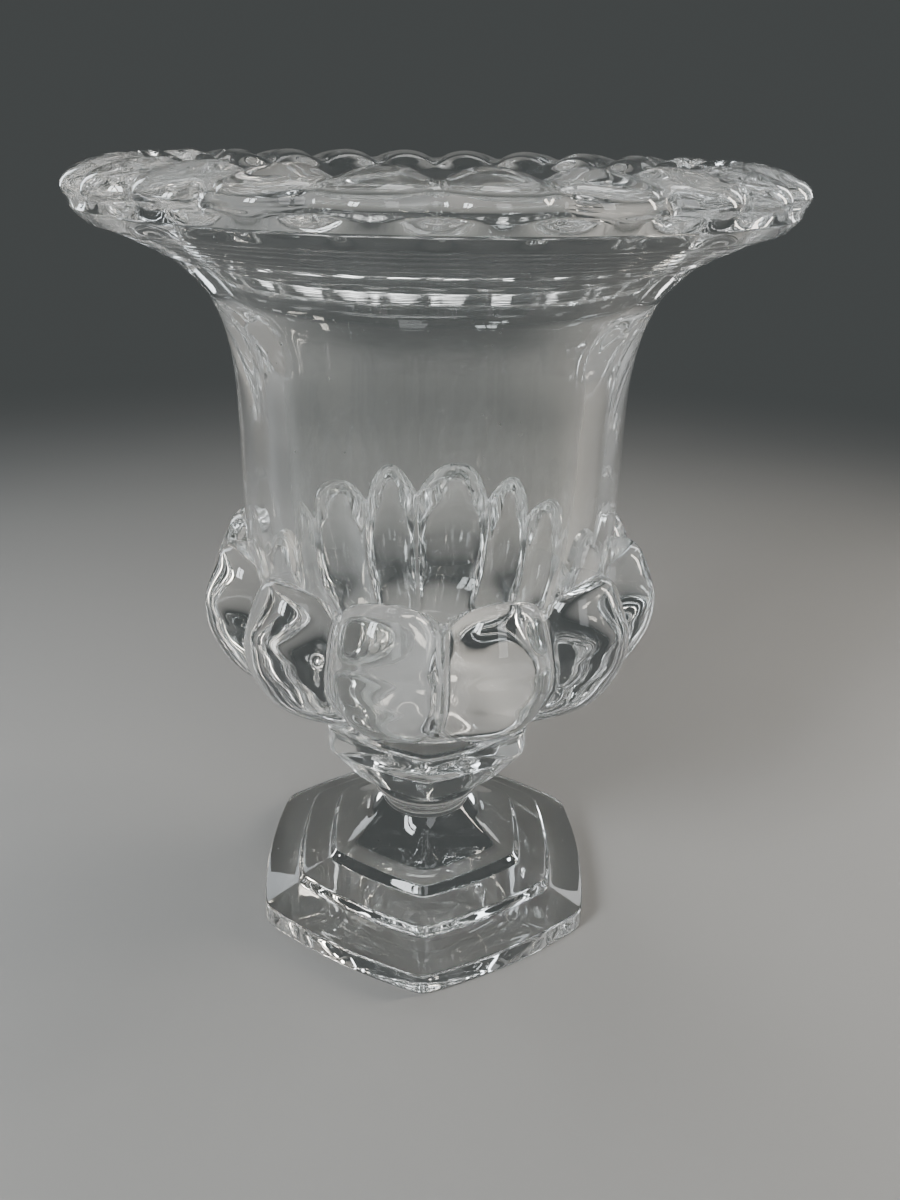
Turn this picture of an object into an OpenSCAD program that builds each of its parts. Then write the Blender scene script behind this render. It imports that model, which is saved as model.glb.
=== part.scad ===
// Heavy cut crystal vase: a fluted bowl with a turned-over petal rim, a gadrooned cup fused
// around its base, and a stepped hexagonal foot below a hexagonal knop.
// Millimetres, +Z up, origin at the centre of the foot's underside.
// The -Y side is the front: one corner of the foot points that way.

/* [Bowl] */
// Height of the bowl, from the underside of its cup to the crest of the rim
bowl_height = 171; // [165:1:180]
// Radius of the wall, measured on the ridges between its panels
wall_radius = 58.9; // [58:0.1:60]
// Thickness of the wall half way up
wall_thickness = 13.6; // [11:0.2:15]
// Number of upright panels around the wall
panel_count = 12; // [8, 12, 16]
// Depth of each panel below the ridges
panel_depth = 0.3; // [0:0.05:1.6]
// Turn of the bowl against the foot, left when the two were joined
bowl_turn = 4; // [0:1:15]

/* [Rim] */
// Radius of the rim at its outermost point
rim_radius = 100.3; // [98:0.1:102]
// Radius of the ring along the crest of the rim
crest_radius = 81; // [78:0.5:86]
// Number of petals around the rim
petal_count = 24; // [12, 24]
// Depth of the grooves between the petals, at the edge of the rim
petal_depth = 4.8; // [1:0.1:5]
// Depth of the same grooves along the crest
crest_depth = 3; // [1:0.1:4]

/* [Gadroon cup] */
// Number of lobes around the cup
lobe_count = 12; // [8, 12, 16]
// Radius of the cup at the fullest point of its lobes
lobe_radius = 73.2; // [71:0.1:75]
// Depth of the grooves between the lobes, as a share of the radius
groove_depth = 0.13; // [0.05:0.01:0.16]
// How far the lobes' rounded tops rise above the grooves
lobe_arch = 8; // [2:0.5:9]

/* [Knop and stem] */
// Distance from the axis to the middle of each side of the knop
knop_side = 34.9; // [33:0.1:36]
// Height of the knop
knop_height = 28.5; // [26:0.5:31]
// Radius of the ring below the knop
ring_radius = 18.8; // [17.5:0.1:20]
// Radius of the stem at its narrowest
stem_radius = 15.4; // [14.5:0.1:16.5]
// Height of the stem, with its ring
stem_height = 12; // [10:0.5:14]
// Radius of the wafer between the knop and the cup
wafer_radius = 31.5; // [30:0.1:33]
// Thickness of the wafer
wafer_height = 2.5; // [1.5:0.1:4]

/* [Foot] */
// Distance from the axis to the middle of each side of the foot
foot_side = 58.2; // [55:0.1:60]
// Radius that each side of the foot is curved to
foot_curve = 180; // [120:5:300]
// Height of the foot's upright edge
edge_height = 7.8; // [6:0.1:9]
// Height of the foot
foot_height = 34; // [32:0.5:38]

/* [Hidden] */
$fn = 192;

stem_z = foot_height;
knop_z = stem_z + stem_height;
wafer_z = knop_z + knop_height;
bowl_z = wafer_z + wafer_height;

steps_around = 96;                   // points around each ring of the bowl and of the cup
step_turn = 360 / steps_around;
petal_turn = bowl_turn - step_turn;  // the petals sit one step back from the ridges
cup_base_radius = 31;
cup_top = 59.4;                      // where the middle of a lobe leaves the wall
seat_bottom = 4;                     // the bowl's underside, above the cup's
cavity_bottom = 12;
flute_top = 146;                     // the panels run out here, under the flare
flute_fade = 24;
edge_z = 161;                        // the petals stop just above the rim's lower corner
cavity_radius = wall_radius - wall_thickness;

clear_glass = [0.86, 0.90, 0.90, 0.55];
thick_glass = [0.78, 0.84, 0.85, 0.65];

// A smooth curve through hand-placed points, with `steps` stretches between neighbours
function curve_at(a, b, c, d, t) =
    0.5 * (2 * b + (c - a) * t + (2 * a - 5 * b + 4 * c - d) * t * t
        + (3 * b - a - 3 * c + d) * t * t * t);
function curve(points, steps) = let (last = len(points) - 1) concat(
    [for (i = [0 : last - 1]) for (s = [0 : steps - 1])
        curve_at(points[max(i - 1, 0)], points[i], points[i + 1], points[min(i + 2, last)],
            s / steps)],
    [points[last]]);

function blend(low, high, x) =
    let (t = min(1, max(0, (x - low) / (high - low)))) t * t * (3 - 2 * t);

// Position across one of `count` repeats, from -1 to 1, with its edges at `turn`
function across(angle, count, turn) =
    let (share = (angle - turn) * count / 360) 2 * (share - floor(share)) - 1;

// A rounded swell between two grooves: 1 in the middle of the repeat, 0 at its edges.
// `shape` is [how round the swell is, how soft the grooves' edges are, their share of the repeat]
function soften(x, softness) = sqrt(x * x + softness * softness) - softness;
function swell(v, shape) =
    let (inner = 1 - soften(max(0, 1 - abs(v) / (1 - shape[2])), shape[1]) / soften(1, shape[1]))
    let (edge = sqrt(1 - shape[0] * shape[0]))
    (sqrt(1 - pow(shape[0] * inner, 2)) - edge) / (1 - edge);
panel_shape = [0.3, 0.7, 0];
lobe_shape = [0.88, 0.06, 0];
petal_shape = [0.88, 0.05, 0.1];

// Outlines, as [radius, height above the cup's underside]
seat_line = curve([[2, seat_bottom], [18, 5.7], [32, 10.5], [45, 19.5], [53.5, 32],
    [57.6, 46], [wall_radius, cup_top]], 1);
flare_line = curve([[wall_radius, cup_top], [wall_radius - 0.2, 84], [wall_radius, 110],
    [60.8, 124], [64.2, 134], [67.2, 138.6], [76, 147], [87, 152.8], [96, 156.2]], 1);
roll_line = concat([[96, 156.2], [rim_radius - 1.8, edge_z - 2.5]],
    curve([[rim_radius - 1.3, edge_z], [rim_radius, 163.8], [rim_radius - 1.8, 166.8],
        [rim_radius - 6, bowl_height - 2.1], [crest_radius + 6.5, bowl_height - 0.4],
        [crest_radius, bowl_height]], 2));
inside_line = curve([[crest_radius, bowl_height], [crest_radius - 5, bowl_height - 1.8],
    [72.8, bowl_height - 6.5], [68.5, 157], [61.5, 146.5], [54, 133.5],
    [cavity_radius + 2.4, 118], [cavity_radius, 100], [cavity_radius - 1, 75],
    [cavity_radius - 2.4, 48], [40.5, 30], [34, 19], [22, 13.2], [2, cavity_bottom]], 1);
lobe_line = curve([[cup_base_radius, 0], [39, 4.2], [53.5, 12.6], [65.8, 22.2],
    [71.9, 33.5], [lobe_radius, 43], [71.6, 50], [67.6, 58.8], [63.4, 62],
    [60.4, 61.4], [wall_radius, cup_top]], 2);

// The wall is a ring of panels that run out under the flare
function panelled(radius, height, angle) =
    radius - panel_depth * swell(across(angle, panel_count, bowl_turn), panel_shape)
        * (1 - blend(flute_top - flute_fade, flute_top, height));

// The lobes start on the wall in rounded arches, and their grooves fade out into them
function arch_drop(height, angle) =
    lobe_arch * blend(20, cup_top, height)
        * (1 - swell(across(angle, lobe_count, bowl_turn), lobe_shape));

function bowl_outside(p, angle) =
    [panelled(p[0], p[1], angle), p[1] - arch_drop(p[1], angle)
        * (1 - blend(cup_top, cup_top + 40, p[1]))];
function seat_point(p, angle) =
    let (whole = p[1] / cup_top)
    [panelled(p[0], p[1], angle) * whole + p[0] * (1 - whole), p[1] - arch_drop(p[1], angle)];
function petal_point(p, angle) =
    let (share = blend(edge_z - 1, edge_z + 1, p[1])
        * blend(crest_radius - 10, crest_radius - 1, p[0]))
    let (v = across(angle, petal_count, petal_turn))
    let (lean = blend(crest_radius - 4, rim_radius, p[0]))
    let (depth = crest_depth + (petal_depth - crest_depth) * lean)
    let (sunk = depth * share * (1 - swell(v, petal_shape)))
    [p[0] - sunk * lean, p[1] - sunk * (1 - lean)];
function lobe_point(p, angle, share) =
    let (v = across(angle, lobe_count, bowl_turn))
    let (cut = groove_depth * share * (1 - swell(v, lobe_shape)))
    [p[0] * (1 - cut), p[1] - arch_drop(p[1], angle)];

function ring(profile, angle) = [profile[0] * sin(angle), -profile[0] * cos(angle), profile[1]];
function all_angles() = [for (i = [0 : steps_around - 1]) bowl_turn + i * step_turn];

// A closed solid from rings that start and end close to the axis
module ring_solid(rings) {
    last = len(rings) - 1;
    around = steps_around;
    faces = concat(
        [[for (i = [0 : around - 1]) i]],
        [for (j = [0 : last - 1]) for (i = [0 : around - 1])
            let (a = j * around + i, b = j * around + (i + 1) % around)
            [b, a, a + around, b + around]],
        [[for (i = [around - 1 : -1 : 0]) last * around + i]]);
    polyhedron([for (r = rings) for (p = r) p], faces, convexity = 6);
}

// A six-sided solid with bowed sides, one corner to the front. Every side is an arc about its
// own far centre. `outline` is [distance from the axis to the middle of a side, height].
function six_sided_radius(side, centre, angle) =
    let (turn = angle - 60 * floor(angle / 60) - 30)
    sqrt(pow(centre + side, 2) - pow(centre * sin(turn), 2)) - centre * cos(turn);
module six_sided(outline, side, curve_radius) {
    centre = curve_radius - side;
    ring_solid([for (p = outline) [for (i = [0 : steps_around - 1])
        let (angle = i * step_turn) ring([six_sided_radius(p[0], centre, angle), p[1]], angle)]]);
}

module foot() {
    riser = 2.7;                     // height of each of the two steps
    rounding = 0.8;
    step_z = 12.1;
    ledge_z = 18.3;
    slab = [[foot_side - rounding, 0], [foot_side, rounding], [foot_side, edge_height - rounding],
        [foot_side - rounding, edge_height]];
    steps = [[foot_side * 0.79, step_z], [foot_side * 0.765, step_z + riser],
        [foot_side * 0.595, ledge_z]];
    neck = curve([[foot_side * 0.563, ledge_z + riser], [foot_side * 0.455, 23.4],
        [foot_side * 0.342, 28], [stem_radius, foot_height]], 2);
    color(thick_glass)
        six_sided(concat(slab, steps, neck), foot_side, foot_curve);
}

module stem() {
    ring_z = 8.5;                    // the fullest point of the ring
    outline = curve([[stem_radius, 0], [stem_radius - 0.2, 2], [stem_radius + 0.8, ring_z - 4.1],
        [ring_radius, ring_z - 1.9], [ring_radius + 0.3, ring_z], [ring_radius - 0.6, ring_z + 2.1],
        [ring_radius, stem_height]], 2);
    color(thick_glass)
        translate([0, 0, stem_z])
            rotate_extrude()
                polygon(concat([[0, 0]], outline, [[0, stem_height]]));
}

module knop() {
    bevel = 18;                      // height of the sloping underside
    bow = 60;                        // how much larger the sides' curve is than the knop
    rounding = 1.2;
    color(thick_glass)
        translate([0, 0, knop_z])
            six_sided([[ring_radius, 0], [knop_side * 0.7, 3.6],
                [knop_side - rounding / 2, bevel - rounding / 2], [knop_side, bevel + rounding / 2],
                [knop_side, knop_height - rounding], [knop_side - rounding, knop_height]],
                knop_side, knop_side + bow);
}

module wafer() {
    color(thick_glass)
        translate([0, 0, wafer_z])
            rotate_extrude()
                polygon([[0, 0], [wafer_radius - 0.5, 0], [wafer_radius, wafer_height / 2],
                    [wafer_radius - 0.5, wafer_height], [0, wafer_height]]);
}

module gadroon_cup() {
    groove = [for (i = [0 : len(lobe_line) - 1]) 1 - blend(0.8, 1, i / (len(lobe_line) - 1))];
    outside = [for (i = [0 : len(lobe_line) - 2])
        [for (a = all_angles()) ring(lobe_point(lobe_line[i], a, groove[i]), a)]];
    seat = [for (i = [len(seat_line) - 1 : -1 : 0])
        [for (a = all_angles()) ring(seat_point(seat_line[i], a), a)]];
    color(thick_glass)
        translate([0, 0, bowl_z])
            ring_solid(concat(outside, seat));
}

module bowl() {
    seat = [for (p = seat_line) [for (a = all_angles()) ring(seat_point(p, a), a)]];
    wall = [for (i = [1 : len(flare_line) - 1])
        [for (a = all_angles()) ring(bowl_outside(flare_line[i], a), a)]];
    roll = [for (i = [1 : len(roll_line) - 1])
        [for (a = all_angles()) ring(petal_point(roll_line[i], a), a)]];
    inside = [for (i = [1 : len(inside_line) - 1])
        [for (a = all_angles()) ring(petal_point(inside_line[i], a), a)]];
    color(clear_glass)
        translate([0, 0, bowl_z])
            ring_solid(concat(seat, wall, roll, inside));
}

foot();
stem();
knop();
wafer();
gadroon_cup();
bowl();
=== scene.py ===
import math

import bpy
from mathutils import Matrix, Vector


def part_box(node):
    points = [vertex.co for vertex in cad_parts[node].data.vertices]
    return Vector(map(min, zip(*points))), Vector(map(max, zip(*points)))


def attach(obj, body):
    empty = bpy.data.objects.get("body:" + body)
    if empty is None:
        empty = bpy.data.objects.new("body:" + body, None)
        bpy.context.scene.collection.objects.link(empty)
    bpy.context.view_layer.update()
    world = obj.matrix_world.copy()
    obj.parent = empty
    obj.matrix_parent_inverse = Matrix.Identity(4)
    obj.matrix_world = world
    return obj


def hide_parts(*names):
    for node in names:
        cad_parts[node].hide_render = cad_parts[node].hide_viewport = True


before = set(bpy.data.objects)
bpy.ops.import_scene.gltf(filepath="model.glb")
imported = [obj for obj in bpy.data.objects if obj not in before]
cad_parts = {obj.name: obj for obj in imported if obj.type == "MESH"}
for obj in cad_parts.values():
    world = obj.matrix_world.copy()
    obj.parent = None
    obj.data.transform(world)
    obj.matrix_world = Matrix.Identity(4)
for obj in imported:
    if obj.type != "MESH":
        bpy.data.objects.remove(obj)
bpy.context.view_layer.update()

mm = 0.001
around = 384      # points round every turned piece: 16 to a petal, 32 to a lobe or a panel
jointRings = 6    # rings across each flat joint
pole = 0.3        # mm, the radius of a joint's innermost ring


# camera: the front of the vase, from a little above its rim
cameraView = {
    "distance": 303 * mm,    # from the axis, level
    "height": 254.5 * mm,
    "pitch": 25.2,           # degrees down
    "roll": 1.0,
    "lens": 30.0,
    "shift": 0.0175,
}


def makeCamera(view):
    data = bpy.data.cameras.new("camera")
    data.lens = view["lens"]
    data.shift_x = view["shift"]
    data.clip_start = 0.01
    camera = bpy.data.objects.new("camera", data)
    camera.location = (0, -view["distance"], view["height"])
    camera.rotation_mode = "XYZ"
    camera.rotation_euler = (math.radians(90 - view["pitch"]), 0, 0)
    camera.rotation_euler.rotate_axis("Z", math.radians(view["roll"]))
    bpy.context.scene.collection.objects.link(camera)
    bpy.context.scene.camera = camera


# outlines: lists of (radius, height), from the bottom up the outside
def smoothLine(points, steps):
    line = []
    last = len(points) - 1
    for i in range(last):
        a, b, c, d = points[max(i - 1, 0)], points[i], points[i + 1], points[min(i + 2, last)]
        for s in range(steps):
            t = s / steps
            line.append(tuple(
                0.5 * (2 * q + (r - p) * t + (2 * p - 5 * q + 4 * r - w) * t * t
                       + (3 * q - p - 3 * r + w) * t ** 3)
                for p, q, r, w in zip(a, b, c, d)))
    line.append(tuple(points[-1]))
    return line


def softLine(points, radius, steps=5):
    # straight stretches with every corner between them rounded
    line = [points[0]]
    for a, b, c in zip(points, points[1:], points[2:]):
        reachIn = min(radius, math.dist(a, b) / 2) / math.dist(a, b)
        reachOut = min(radius, math.dist(b, c) / 2) / math.dist(b, c)
        start = tuple(q + (p - q) * reachIn for p, q in zip(a, b))
        end = tuple(q + (r - q) * reachOut for q, r in zip(b, c))
        for s in range(steps + 1):
            t = s / steps
            line.append(tuple(
                p * (1 - t) ** 2 + 2 * q * t * (1 - t) + r * t * t
                for p, q, r in zip(start, b, end)))
    line.append(points[-1])
    return line


def spaced(line, longest):
    # extra points, so that no stretch is longer than longest
    out = [line[0]]
    for a, b in zip(line, line[1:]):
        parts = max(1, math.ceil(math.dist(a, b) / longest))
        out += [tuple(p + (q - p) * s / parts for p, q in zip(a, b)) for s in range(1, parts + 1)]
    return out


def resampled(line, gapAt):
    # the line again, with its points about gapAt(radius, height) apart
    out = [line[0]]
    for point in line[1:-1]:
        if math.dist(point, out[-1]) >= gapAt(*point):
            out.append(point)
    out.append(line[-1])
    return out


def ease(low, high, x):
    t = min(1, max(0, (x - low) / (high - low)))
    return t * t * (3 - 2 * t)


def farthest(node):
    # the frame's own largest radius of a node, in mm
    return max(math.hypot(v.co.x, v.co.y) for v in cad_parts[node].data.vertices) / mm


def bottomOf(node):
    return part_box(node)[0][2] / mm


def heightOf(node):
    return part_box(node)[1][2] / mm - bottomOf(node)


def jointDisc(radius, z):
    # a flat fused face, from its middle outwards
    return [{"r": radius * s / jointRings + pole, "z": z, "fused": True} for s in range(jointRings)]


def turnedPiece(name, rings, base, reliefs=()):
    # rings are dictionaries: r and z in mm above base, fused, and what each relief reads
    names = ["sixShare", *reliefs]
    corners = [(0, 0, (base + rings[0]["z"]) * mm)]
    values = {word: [0.0] for word in names}
    for ring in rings:
        for i in range(around):
            angle = 2 * math.pi * i / around
            corners.append((ring["r"] * mm * math.cos(angle), ring["r"] * mm * math.sin(angle),
                            (base + ring["z"]) * mm))
        for word in names:
            values[word] += [ring.get(word, 0.0)] * around
    corners.append((0, 0, (base + rings[-1]["z"]) * mm))
    for word in names:
        values[word].append(0.0)
    tip = len(corners) - 1
    faces = []
    fused = []
    for i in range(around):
        faces.append((0, 1 + (i + 1) % around, 1 + i))
        fused.append(rings[0].get("fused", False))
    for j in range(len(rings) - 1):
        low, high = 1 + j * around, 1 + (j + 1) * around
        both = rings[j].get("fused", False) and rings[j + 1].get("fused", False)
        for i in range(around):
            k = (i + 1) % around
            faces.append((low + i, low + k, high + k, high + i))
            fused.append(both)
    high = 1 + (len(rings) - 1) * around
    for i in range(around):
        faces.append((tip, high + i, high + (i + 1) % around))
        fused.append(rings[-1].get("fused", False))
    mesh = bpy.data.meshes.new(name)
    mesh.from_pydata(corners, [], faces)
    for word in names:
        mesh.attributes.new(word, "FLOAT", "POINT").data.foreach_set("value", values[word])
    mesh.attributes.new("fused", "BOOLEAN", "FACE").data.foreach_set("value", fused)
    piece = bpy.data.objects.new(name, mesh)
    bpy.context.scene.collection.objects.link(piece)
    return piece


# geometry nodes
def newTree(name, sockets):
    tree = bpy.data.node_groups.new(name, "GeometryNodeTree")
    tree.interface.new_socket("Geometry", in_out="INPUT", socket_type="NodeSocketGeometry")
    ids = {}
    for label, kind, value in sockets:
        socket = tree.interface.new_socket(label, in_out="INPUT", socket_type="NodeSocket" + kind)
        if value is not None:
            socket.default_value = value
        ids[label] = socket.identifier
    tree.interface.new_socket("Geometry", in_out="OUTPUT", socket_type="NodeSocketGeometry")
    return tree, ids


def mathIn(tree):
    def calc(operation, *inputs):
        node = tree.nodes.new("ShaderNodeMath")
        node.operation = operation
        for slot, value in zip(node.inputs, inputs):
            if isinstance(value, (int, float)):
                slot.default_value = value
            else:
                tree.links.new(value, slot)
        return node.outputs[0]
    return calc


def named(tree, label):
    node = tree.nodes.new("GeometryNodeInputNamedAttribute")
    node.data_type = "FLOAT"
    if isinstance(label, str):
        node.inputs["Name"].default_value = label
    else:
        tree.links.new(label, node.inputs["Name"])
    return node.outputs["Attribute"]


def splitPosition(tree, calc):
    # x, y, z and the distance from the axis
    spot = tree.nodes.new("GeometryNodeInputPosition")
    split = tree.nodes.new("ShaderNodeSeparateXYZ")
    tree.links.new(spot.outputs[0], split.inputs[0])
    x, y, z = split.outputs
    squares = calc("ADD", calc("MULTIPLY", x, x), calc("MULTIPLY", y, y))
    return x, y, z, calc("MAXIMUM", calc("SQRT", squares), 1e-6)


def finishTree(tree, geometry, x, y, z, given):
    # moves the points, then gives the piece its two materials
    place = tree.nodes.new("ShaderNodeCombineXYZ")
    for slot, value in zip(place.inputs, (x, y, z)):
        tree.links.new(value, slot)
    move = tree.nodes.new("GeometryNodeSetPosition")
    tree.links.new(geometry, move.inputs["Geometry"])
    tree.links.new(place.outputs[0], move.inputs["Position"])
    smooth = tree.nodes.new("GeometryNodeSetShadeSmooth")
    tree.links.new(move.outputs[0], smooth.inputs["Geometry"])
    real = tree.nodes.new("GeometryNodeRealizeInstances")
    tree.links.new(smooth.outputs[0], real.inputs[0])
    crystal = tree.nodes.new("GeometryNodeSetMaterial")
    tree.links.new(real.outputs[0], crystal.inputs["Geometry"])
    tree.links.new(given.outputs["Crystal"], crystal.inputs["Material"])
    fused = tree.nodes.new("GeometryNodeInputNamedAttribute")
    fused.data_type = "BOOLEAN"
    fused.inputs["Name"].default_value = "fused"
    joint = tree.nodes.new("GeometryNodeSetMaterial")
    tree.links.new(crystal.outputs[0], joint.inputs["Geometry"])
    tree.links.new(fused.outputs["Attribute"], joint.inputs["Selection"])
    tree.links.new(given.outputs["Joint"], joint.inputs["Material"])
    out = tree.nodes.new("NodeGroupOutput")
    tree.links.new(joint.outputs[0], out.inputs[0])


def reliefTree():
    # repeats round the axis: each vertex sinks by its own attribute, most in the grooves
    tree, ids = newTree("repeatRelief", [
        ("Count", "Float", 12.0), ("Turn", "Float", 0.0), ("Fullness", "Float", 0.8),
        ("Softness", "Float", 0.1), ("Gap", "Float", 0.0), ("Sink Middle", "Float", 0.0),
        ("Inward", "String", ""), ("Downward", "String", ""),
        ("Crystal", "Material", None), ("Joint", "Material", None)])
    given = tree.nodes.new("NodeGroupInput")
    calc = mathIn(tree)
    x, y, z, radius = splitPosition(tree, calc)
    angle = calc("ADD", calc("ARCTAN2", y, x), math.pi / 2)    # counted from the front
    angle = calc("SUBTRACT", angle, calc("RADIANS", given.outputs["Turn"]))
    share = calc("MULTIPLY", angle, calc("DIVIDE", given.outputs["Count"], 2 * math.pi))
    share = calc("FRACT", share)
    full, soft = given.outputs["Fullness"], given.outputs["Softness"]
    spread = calc("ABSOLUTE", calc("MULTIPLY_ADD", share, 2.0, -1.0))
    spread = calc("DIVIDE", spread, calc("SUBTRACT", 1.0, given.outputs["Gap"]))
    gap = calc("MAXIMUM", calc("SUBTRACT", 1.0, spread), 0.0)

    def rounded(width):
        # a distance whose start is flattened, so that a groove has a round bottom
        reach = calc("ADD", calc("MULTIPLY", width, width), calc("MULTIPLY", soft, soft))
        return calc("SUBTRACT", calc("SQRT", reach), soft)

    gap = calc("DIVIDE", rounded(gap), rounded(1.0))
    across = calc("MULTIPLY", calc("SUBTRACT", 1.0, gap), full)
    edge = calc("SQRT", calc("SUBTRACT", 1.0, calc("MULTIPLY", full, full)))
    rise = calc("SQRT", calc("SUBTRACT", 1.0, calc("MULTIPLY", across, across)))
    swell = calc("DIVIDE", calc("SUBTRACT", rise, edge), calc("SUBTRACT", 1.0, edge))
    middle = calc("MULTIPLY", swell, given.outputs["Sink Middle"])
    edges = calc("MULTIPLY", calc("SUBTRACT", 1.0, swell),
                 calc("SUBTRACT", 1.0, given.outputs["Sink Middle"]))
    factor = calc("ADD", middle, edges)
    inward = calc("MULTIPLY", factor, named(tree, given.outputs["Inward"]))
    keep = calc("SUBTRACT", 1.0, calc("DIVIDE", inward, radius))
    lower = calc("SUBTRACT", z, calc("MULTIPLY", factor, named(tree, given.outputs["Downward"])))
    finishTree(tree, given.outputs["Geometry"], calc("MULTIPLY", x, keep),
               calc("MULTIPLY", y, keep), lower, given)
    return tree, ids


def sixSidedTree():
    # turns a round piece six-sided, with bowed sides and softened corners
    tree, ids = newTree("sixSided", [
        ("Curve Centre", "Float", 0.1), ("Softness", "Float", 0.0005),
        ("Crystal", "Material", None), ("Joint", "Material", None)])
    given = tree.nodes.new("NodeGroupInput")
    calc = mathIn(tree)
    x, y, z, side = splitPosition(tree, calc)
    step = math.pi / 3
    angle = calc("ADD", calc("ARCTAN2", y, x), math.pi / 6)    # a side faces +X
    turn = calc("MULTIPLY", calc("FRACT", calc("DIVIDE", angle, step)), step)
    turn = calc("ABSOLUTE", calc("SUBTRACT", turn, step / 2))    # from the middle of the side
    centre = given.outputs["Curve Centre"]
    reach = calc("POWER", calc("ADD", centre, side), 2.0)

    def sideAt(turned):
        offset = calc("POWER", calc("MULTIPLY", centre, calc("SINE", turned)), 2.0)
        return calc("SUBTRACT", calc("SQRT", calc("SUBTRACT", reach, offset)),
                    calc("MULTIPLY", centre, calc("COSINE", turned)))

    near = sideAt(turn)
    far = sideAt(calc("SUBTRACT", step, turn))
    soft = given.outputs["Softness"]
    gap = calc("DIVIDE", calc("SUBTRACT", near, far), soft)
    fade = calc("LOGARITHM", calc("ADD", calc("EXPONENT", gap), 1.0), math.e)
    shaped = calc("SUBTRACT", near, calc("MULTIPLY", soft, fade))
    share = named(tree, "sixShare")
    radius = calc("ADD", calc("MULTIPLY", shaped, share),
                  calc("MULTIPLY", side, calc("SUBTRACT", 1.0, share)))
    keep = calc("DIVIDE", radius, side)
    finishTree(tree, given.outputs["Geometry"], calc("MULTIPLY", x, keep),
               calc("MULTIPLY", y, keep), z, given)
    return tree, ids


def shape(piece, passes, crystal, joint):
    # each pass is (tree, socket identifiers, {label: value})
    for (tree, ids), inputs in passes:
        modifier = piece.modifiers.new(tree.name, "NODES")
        modifier.node_group = tree
        for label, value in inputs.items():
            modifier[ids[label]] = value
        modifier[ids["Crystal"]] = crystal
        modifier[ids["Joint"]] = joint
    ready = piece.evaluated_get(bpy.context.evaluated_depsgraph_get())
    mesh = bpy.data.meshes.new_from_object(ready)
    piece.modifiers.clear()
    old = piece.data
    piece.data = mesh
    bpy.data.meshes.remove(old)
    mesh.name = piece.name
    used = [a.name for a in mesh.attributes if a.name in ("fused", "sixShare") or "Sink" in a.name]
    for attribute in used:
        mesh.attributes.remove(mesh.attributes[attribute])
    return piece


# materials
def crystalMaterial(name, look):
    material = bpy.data.materials.new(name)
    material.use_nodes = True
    nodes, links = material.node_tree.nodes, material.node_tree.links
    shader = nodes["Principled BSDF"]
    shader.inputs["Base Color"].default_value = (*look["tint"], 1)
    shader.inputs["Transmission Weight"].default_value = 1
    shader.inputs["IOR"].default_value = look["ior"]
    where = nodes.new("ShaderNodeTexCoord")
    ripple = nodes.new("ShaderNodeTexNoise")
    ripple.inputs["Scale"].default_value = 1 / look["rippleSize"]
    ripple.inputs["Detail"].default_value = 1.5
    links.new(where.outputs["Object"], ripple.inputs["Vector"])
    bump = nodes.new("ShaderNodeBump")
    bump.inputs["Strength"].default_value = 1
    bump.inputs["Distance"].default_value = look["rippleDepth"]
    links.new(ripple.outputs["Fac"], bump.inputs["Height"])
    links.new(bump.outputs["Normal"], shader.inputs["Normal"])
    # a few specks of dust, dull on the polish
    specks = nodes.new("ShaderNodeTexVoronoi")
    specks.inputs["Scale"].default_value = 1 / look["speckGap"]
    links.new(where.outputs["Object"], specks.inputs["Vector"])
    dull = nodes.new("ShaderNodeMapRange")
    dull.inputs["From Min"].default_value = look["speckCore"]
    dull.inputs["From Max"].default_value = look["speckEdge"]
    dull.inputs["To Min"].default_value = look["speckDull"]
    dull.inputs["To Max"].default_value = look["polish"]
    links.new(specks.outputs["Distance"], dull.inputs["Value"])
    links.new(dull.outputs["Result"], shader.inputs["Roughness"])
    return material


def jointMaterial():
    # a fused face bends no light: the glass runs on through it
    material = bpy.data.materials.new("fusedJoint")
    material.use_nodes = True
    nodes, links = material.node_tree.nodes, material.node_tree.links
    nodes.remove(nodes["Principled BSDF"])
    clear = nodes.new("ShaderNodeBsdfTransparent")
    links.new(clear.outputs[0], nodes["Material Output"].inputs["Surface"])
    return material


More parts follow.
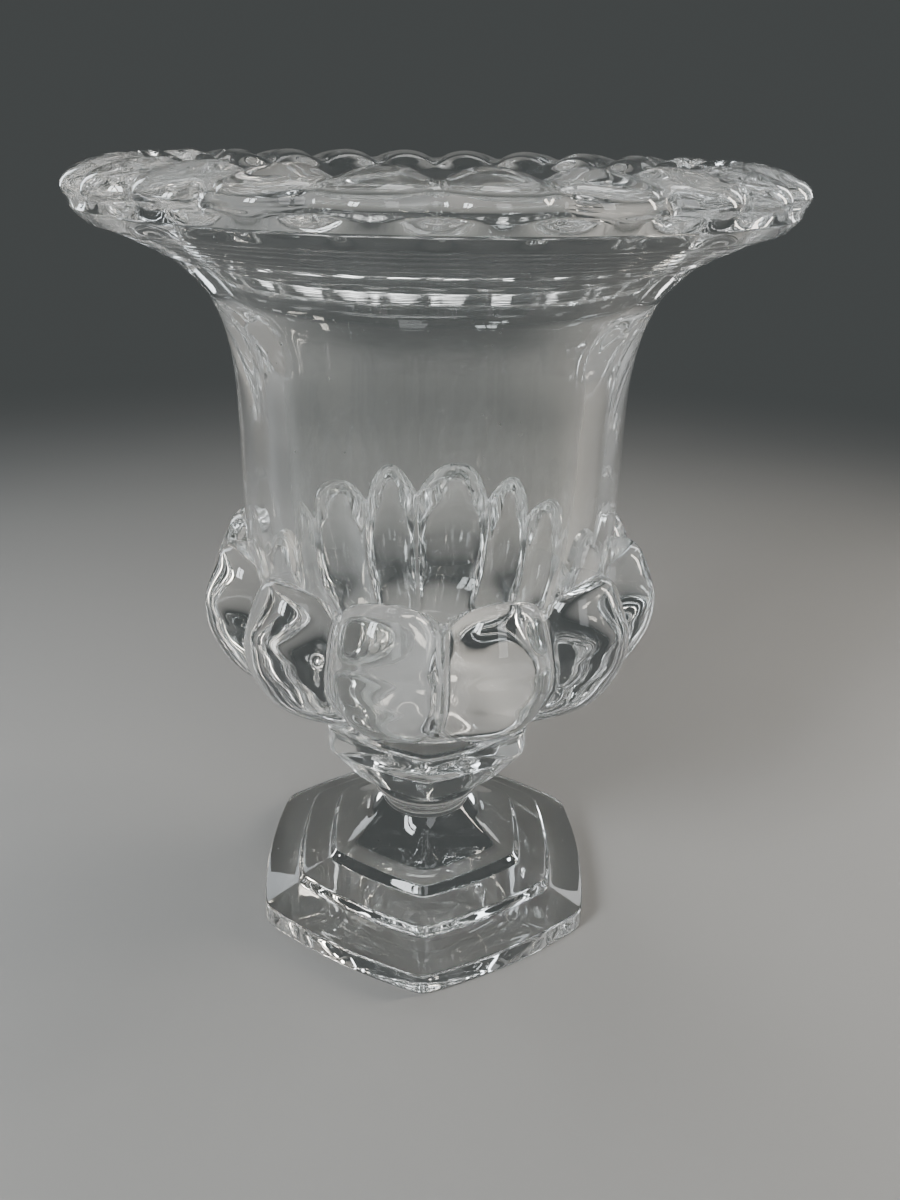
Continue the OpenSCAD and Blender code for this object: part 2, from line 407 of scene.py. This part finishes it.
def floorWithPaintedLightPool(look):
    # painted pool of light: pale under the vase, and with distance its colour fades into a dim glow
    # of the backdrop's colour, a painted fall-off of the lamps' light
    material = bpy.data.materials.new("floorPaintedLightPool")
    material.use_nodes = True
    nodes, links = material.node_tree.nodes, material.node_tree.links
    shader = nodes["Principled BSDF"]
    shader.inputs["Base Color"].default_value = (*look["colour"], 1)
    shader.inputs["Roughness"].default_value = look["rough"]
    where = nodes.new("ShaderNodeTexCoord")
    away = nodes.new("ShaderNodeVectorMath")
    away.operation = "LENGTH"
    links.new(where.outputs["Object"], away.inputs[0])
    cloud = nodes.new("ShaderNodeTexNoise")
    cloud.inputs["Scale"].default_value = look["cloudScale"]
    links.new(where.outputs["Object"], cloud.inputs["Vector"])
    wander = nodes.new("ShaderNodeMath")
    wander.operation = "MULTIPLY_ADD"
    wander.inputs[1].default_value = look["cloudReach"]
    links.new(cloud.outputs["Fac"], wander.inputs[0])
    links.new(away.outputs["Value"], wander.inputs[2])
    # painted pool of light: 0 near the vase, rising to 1 far away, where the floor turns dark
    paintedFalloff = nodes.new("ShaderNodeMapRange")
    paintedFalloff.interpolation_type = "SMOOTHERSTEP"
    paintedFalloff.inputs["From Min"].default_value = look["near"]
    paintedFalloff.inputs["From Max"].default_value = look["far"]
    links.new(wander.outputs[0], paintedFalloff.inputs["Value"])
    # painted shade: the far floor glows dimly in the backdrop's colour, though it is no lamp
    backdrop = nodes.new("ShaderNodeEmission")
    backdrop.inputs["Color"].default_value = (*look["backdrop"], 1)
    mix = nodes.new("ShaderNodeMixShader")
    links.new(paintedFalloff.outputs["Result"], mix.inputs["Fac"])
    links.new(shader.outputs[0], mix.inputs[1])
    links.new(backdrop.outputs[0], mix.inputs[2])
    links.new(mix.outputs[0], nodes["Material Output"].inputs["Surface"])
    return material


makeCamera(cameraView)
print("camera ready")

crystal = crystalMaterial("clearCrystal", {
    "tint": (0.985, 0.995, 0.99),
    "ior": 1.55,
    "rippleSize": 16 * mm,
    "rippleDepth": 0.05 * mm,
    "speckGap": 9 * mm,
    "speckCore": 0.03, "speckEdge": 0.05,    # shares of the gap
    "speckDull": 0.35,
    "polish": 0.005,
})
joint = jointMaterial()
relief = reliefTree()
sixSided = sixSidedTree()


# foot
foot = {
    "side": 58.2, "curve": 180.0,        # middle of a side, and the radius that it bows to
    "edge": 7.8, "riser": 2.7,
    "step": 45.5, "ledge": 34.7,         # where the two steps rise
    "stepHeight": 12.1, "ledgeHeight": 18.3,
    "soft": 0.7, "cornerSoft": 0.8,
    "neck": 15.4, "neckBlend": 7,        # the neck turns round over its last part
    "gap": 1.1,                          # between the rings
}


def makeFoot(size):
    top = heightOf("foot")
    flare = smoothLine([(size["ledge"] - 1.9, size["ledgeHeight"] + size["riser"]), (26.5, 23.4),
                        (19.9, 28), (size["neck"], top)], 12)
    line = softLine([(0.5, 0), (size["side"], 0), (size["side"], size["edge"]),
                     (size["step"] + 0.6, size["stepHeight"]),
                     (size["step"] - 0.9, size["stepHeight"] + size["riser"]),
                     (size["ledge"], size["ledgeHeight"]), flare[0], flare[2]], size["soft"])
    line = spaced(line[:-1] + flare[2:], size["gap"])
    rings = [{"r": r, "z": z, "sixShare": 1 - ease(top - size["neckBlend"], top, z)} for r, z in line]
    rings[-1]["fused"] = True
    rings += jointDisc(size["neck"], top)[::-1]
    piece = turnedPiece("foot.crystal", rings, bottomOf("foot"))
    return shape(piece, [(sixSided, {"Curve Centre": (size["curve"] - size["side"]) * mm,
                                     "Softness": size["cornerSoft"] * mm})], crystal, joint)


footPiece = makeFoot(foot)
print("foot ready", len(footPiece.data.polygons))


# stem
stem = {"neck": 15.4, "ring": 18.8, "joint": 18.0}


def makeStem(size):
    top = heightOf("stem")
    line = smoothLine([(size["neck"], 0), (size["neck"] - 0.2, 2), (size["neck"] + 0.8, 4.4),
                       (size["ring"], 6.6), (size["ring"] + 0.3, 8.5), (size["ring"] - 0.6, 10.6),
                       (size["joint"], top)], 6)
    rings = jointDisc(size["neck"], 0)
    rings += [{"r": r, "z": z} for r, z in line]
    rings[jointRings]["fused"] = True
    rings[-1]["fused"] = True
    rings += jointDisc(size["joint"], top)[::-1]
    piece = turnedPiece("stem.crystal", rings, bottomOf("stem"))
    return shape(piece, [(sixSided, {})], crystal, joint)


stemPiece = makeStem(stem)
print("stem ready")


# knop
knop = {
    "side": 34.9, "bow": 60.0,      # middle of a side, and how far off its curve is centred
    "bevel": 18.0, "soft": 0.9, "cornerSoft": 0.6,
    "joint": 27.0, "blend": 3,      # it turns round over this much at each joint
    "gap": 1.1,
}


def makeKnop(size, stemJoint):
    top = heightOf("knop")
    line = softLine([(stemJoint, 0), (size["side"] * 0.7, 3.6), (size["side"] - 0.3, size["bevel"]),
                     (size["side"], top - 1.2), (size["side"] - 1.2, top - 0.1),
                     (size["joint"], top)], size["soft"])
    rings = jointDisc(stemJoint, 0)
    for r, z in spaced(line, size["gap"]):
        share = ease(0, size["blend"], z)
        if z > top - 1:
            share *= ease(size["joint"], size["joint"] + size["blend"], r)
        rings.append({"r": r, "z": z, "sixShare": share})
    rings[jointRings]["fused"] = True
    rings[-1]["fused"] = True
    rings += jointDisc(size["joint"], top)[::-1]
    piece = turnedPiece("knop.crystal", rings, bottomOf("knop"))
    return shape(piece, [(sixSided, {"Curve Centre": size["bow"] * mm,
                                     "Softness": size["cornerSoft"] * mm})], crystal, joint)


knopPiece = makeKnop(knop, stem["joint"])
print("knop ready")


# wafer
wafer = {"radius": 31.5, "lowerJoint": 27.0, "upperJoint": 26.5, "soft": 0.5, "gap": 1.0}


def makeWafer(size):
    top = heightOf("wafer")
    line = softLine([(size["lowerJoint"], 0), (size["radius"] - 0.7, 0.25), (size["radius"], top / 2),
                     (size["radius"] - 0.7, top - 0.25), (size["upperJoint"], top)], size["soft"])
    rings = jointDisc(size["lowerJoint"], 0)
    rings += [{"r": r, "z": z} for r, z in spaced(line, size["gap"])]
    rings[jointRings]["fused"] = True
    rings[-1]["fused"] = True
    rings += jointDisc(size["upperJoint"], top)[::-1]
    piece = turnedPiece("wafer.crystal", rings, bottomOf("wafer"))
    return shape(piece, [(sixSided, {})], crystal, joint)


waferPiece = makeWafer(wafer)
print("wafer ready")


# the cup's lobes and the bowl share one seat, so both read this
# a section is a swell's roundness, the softness of its grooves, and their share of the repeat
cup = {
    "lobes": 12, "turn": 4.0, "section": (0.88, 0.06, 0.0),
    "groove": 0.13,    # depth, as a share of the radius
    "grooveFull": 36, "grooveFade": 0.8,    # from this radius, until this share of the outline
    "arch": 8.0,       # how far the lobes' tops rise above the grooves
    "archFrom": 20, "archFade": 40,         # heights: where it starts, and how long it fades
    "radius": farthest("gadroon_cup"), "wall": 58.9, "top": 59.4,
}
panel = {"count": 12, "depth": 0.3, "section": (0.3, 0.7, 0.0)}
seatOutline = [(2, 4), (18, 5.7), (32, 10.5), (45, 19.5), (53.5, 32), (57.6, 46),
               (cup["wall"], cup["top"])]


def lobeSink(z):
    fade = ease(cup["archFrom"], cup["top"], z)
    fade *= 1 - ease(cup["top"], cup["top"] + cup["archFade"], z)
    return cup["arch"] * mm * fade


def seatRings():
    return [{"r": r, "z": z, "fused": True, "lobeSinkDown": lobeSink(z),
             "panelSinkIn": panel["depth"] * mm * z / cup["top"]}
            for r, z in smoothLine(seatOutline, 5)]


def reliefPass(count, turn, section, middle, word):
    # middle is 1 where the middles sink, and 0 where the grooves do
    fullness, softness, gap = section
    return (relief, {"Count": float(count), "Turn": float(turn), "Fullness": fullness,
                     "Softness": softness, "Gap": gap, "Sink Middle": float(middle),
                     "Inward": word + "SinkIn", "Downward": word + "SinkDown"})


reliefNames = [word + sink for word in ("lobe", "panel", "petal") for sink in ("SinkIn", "SinkDown")]
panelPass = reliefPass(panel["count"], cup["turn"], panel["section"], 1, "panel")
lobePass = reliefPass(cup["lobes"], cup["turn"], cup["section"], 0, "lobe")


def makeCup(size):
    base = wafer["upperJoint"]
    line = smoothLine([(base, 0), (31, 0.9), (39, 4.2), (53.5, 12.6), (65.8, 22.2), (71.9, 33.5),
                       (size["radius"], 43), (71.6, 50), (67.6, 58.8), (63.4, 62), (60.4, 61.4),
                       (size["wall"], size["top"])], 9)
    last = len(line) - 1
    rings = jointDisc(base, 0)
    for i, (r, z) in enumerate(line):
        cut = size["groove"] * ease(base, size["grooveFull"], r)
        cut *= 1 - ease(size["grooveFade"], 1, i / last)
        rings.append({"r": r, "z": z, "lobeSinkIn": r * mm * cut, "lobeSinkDown": lobeSink(z)})
    rings[jointRings]["fused"] = True
    rings = rings[:-1] + seatRings()[::-1]
    piece = turnedPiece("gadroonCup.crystal", rings, bottomOf("gadroon_cup"), reliefNames)
    return shape(piece, [panelPass, lobePass], crystal, joint)


cupPiece = makeCup(cup)
print("cup ready", len(cupPiece.data.polygons))


# bowl
bowl = {
    "height": heightOf("bowl") + bottomOf("bowl") - bottomOf("gadroon_cup"),
    "rim": farthest("bowl") - 0.15,       # just inside the frame's own rim
    "crest": 81.0, "cavity": 45.3,
    "petals": 24, "petalSection": (0.88, 0.05, 0.1),
    "petalDepth": 4.8, "crestDepth": 3,   # at the rim, and along the crest
    "petalShift": 3.75,                   # degrees back from the lobes and the panels
    "fluteTop": 146, "fluteFade": 24,     # the panels run out here
    "edge": 161,                          # the petals stop just above this corner
    "rings": 6, "ringDepth": 0.7,
    "ringsFrom": 76, "ringsTo": 96,
    "lip": (96, 156.2),                   # where the underside meets the rolled edge
}


def makeBowl(size):
    top, rim, edge = size["height"], size["rim"], size["edge"]
    wall, crest, cavity = cup["wall"], size["crest"], size["cavity"]
    flare = smoothLine([(wall, cup["top"]), (wall - 0.2, 84), (wall, 110), (60.8, 124), (64.2, 134),
                        (67.2, 138.6), (76, 147), (87, 152.8), size["lip"]], 40)
    flare = resampled(flare, lambda r, z: 3.2 if z < 130 else 1.6 if z < 143 else 0.5)
    roll = softLine([size["lip"], (rim - 1.8, edge - 2.5), (rim - 1.3, edge)], 0.5)
    roll += smoothLine([(rim - 1.3, edge), (rim, 163.8), (rim - 1.8, 166.8), (rim - 6, top - 2.1),
                        (crest + 6.5, top - 0.4), (crest, top)], 12)[1:]
    inside = smoothLine([(crest, top), (crest - 5, top - 1.8), (72.8, top - 6.5), (68.5, 157),
                         (61.5, 146.5), (54, 133.5), (cavity + 2.4, 118), (cavity, 100),
                         (cavity - 1, 75), (cavity - 2.4, 48), (40.5, 30), (34, 19), (22, 13.2),
                         (2, 12)], 30)
    inside = resampled(inside, lambda r, z: 2.6 if z < 150 else 1.0)
    rings = seatRings()
    for r, z in flare[1:]:
        fade = 1 - ease(size["fluteTop"] - size["fluteFade"], size["fluteTop"], z)
        share = min(1, max(0, (r - size["ringsFrom"]) / (size["ringsTo"] - size["ringsFrom"])))
        ripple = size["ringDepth"] * abs(math.sin(math.pi * size["rings"] * share))
        rings.append({"r": r, "z": z - ripple, "panelSinkIn": panel["depth"] * mm * fade,
                      "lobeSinkDown": lobeSink(z)})
    for r, z in roll[1:] + inside[1:]:
        onRoll = ease(edge - 1, edge + 1, z)
        lean = ease(crest - 4, rim, r)    # 0 where the grooves cut down, 1 where they cut in
        depth = size["crestDepth"] + (size["petalDepth"] - size["crestDepth"]) * lean
        sink = depth * mm * onRoll * ease(crest - 10, crest - 1, r)
        rings.append({"r": r, "z": z, "petalSinkIn": sink * lean,
                      "petalSinkDown": sink * (1 - lean)})
    turn = cup["turn"] - size["petalShift"]
    petalPass = reliefPass(size["petals"], turn, size["petalSection"], 0, "petal")
    piece = turnedPiece("bowl.crystal", rings, bottomOf("gadroon_cup"), reliefNames)
    return shape(piece, [panelPass, lobePass, petalPass], crystal, joint)


bowlPiece = makeBowl(bowl)
print("bowl ready", len(bowlPiece.data.polygons))

pieceFor = {
    "foot": (footPiece, "pressed_crystal"),
    "stem": (stemPiece, "pressed_crystal"),
    "knop": (knopPiece, "pressed_crystal"),
    "wafer": (waferPiece, "pressed_crystal"),
    "gadroon_cup": (cupPiece, "gather_crystal"),
    "bowl": (bowlPiece, "bowl_crystal"),
}
for node, (piece, slot) in pieceFor.items():
    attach(piece, "root")
    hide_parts(node)


# stage
stage = {
    # near and far: where the floor's painted pool of light fades into the painted dark glow of the
    # backdrop's colour
    "floor": 6.0, "drop": 0.3 * mm, "near": 0.15, "far": 0.95,
    "colour": (0.5, 0.49, 0.475), "rough": 0.55, "backdrop": (0.075, 0.08, 0.08),
    "cloudScale": 4, "cloudReach": 0.06,    # how unevenly the floor's painted fall-off of light fades
}


def makeStage(size):
    half, low = size["floor"] / 2, -size["drop"]
    mesh = bpy.data.meshes.new("floor")
    corners = [(-half, -half, low), (half, -half, low), (half, half, low), (-half, half, low)]
    mesh.from_pydata(corners, [], [(0, 1, 2, 3)])
    floor = bpy.data.objects.new("floor", mesh)
    bpy.context.scene.collection.objects.link(floor)
    mesh.materials.append(floorWithPaintedLightPool(size))


makeStage(stage)


# light: each window is a row of panes, so that it reflects as one
aimHeight = 0.13
windows = {
    "left": {"place": (-0.62, -0.66, 0.62), "panes": 2, "pane": (0.12, 0.4), "bar": 0.03,
             "power": 3, "colour": (0.93, 0.97, 1)},
    "front": {"place": (0.3, -1.0, 0.7), "panes": 1, "pane": (0.4, 0.8), "bar": 0,
              "power": 2.2, "colour": (0.96, 0.98, 1)},
    "right": {"place": (0.78, 0.15, 0.42), "panes": 1, "pane": (0.1, 0.55), "bar": 0,
              "power": 2.6, "colour": (1, 0.93, 0.84)},
    "backLeft": {"place": (-0.75, 0.75, 0.45), "panes": 1, "pane": (0.2, 0.6), "bar": 0,
                 "power": 1.4, "colour": (0.9, 0.95, 1)},
    "backRight": {"place": (0.8, 0.8, 0.5), "panes": 1, "pane": (0.15, 0.6), "bar": 0,
                  "power": 1.2, "colour": (1, 1, 1)},
    "overhead": {"place": (0.1, 0.3, 1.2), "panes": 1, "pane": (0.35, 0.35), "bar": 0,
                 "power": 1.2, "colour": (1, 1, 1)},
}


def makeWindow(name, size):
    aim = Vector((0, 0, aimHeight)) - Vector(size["place"])
    turn = aim.to_track_quat("-Z", "Y")
    wide, high = size["pane"]
    for i in range(size["panes"]):
        data = bpy.data.lights.new(name, "AREA")
        data.shape = "RECTANGLE"
        data.size = wide
        data.size_y = high
        data.energy = size["power"]
        data.color = size["colour"]
        light = bpy.data.objects.new(name, data)
        aside = (i - (size["panes"] - 1) / 2) * (wide + size["bar"])
        light.location = Vector(size["place"]) + turn @ Vector((aside, 0, 0))
        light.rotation_euler = turn.to_euler()
        light.visible_camera = False
        bpy.context.scene.collection.objects.link(light)


for name, size in windows.items():
    makeWindow(name, size)

world = bpy.data.worlds.new("studio")
bpy.context.scene.world = world
world.use_nodes = True
background = world.node_tree.nodes["Background"]
background.inputs["Color"].default_value = (*stage["backdrop"], 1)
background.inputs["Strength"].default_value = 1.0

# light that is caught inside the glass counts as glossy, so it needs as many bounces
cycles = bpy.context.scene.cycles
cycles.transparent_max_bounces = 48
cycles.transmission_bounces = 40
cycles.glossy_bounces = 40
cycles.max_bounces = 60
bpy.context.scene.view_settings.look = "AgX - Medium High Contrast"
print("stage ready")
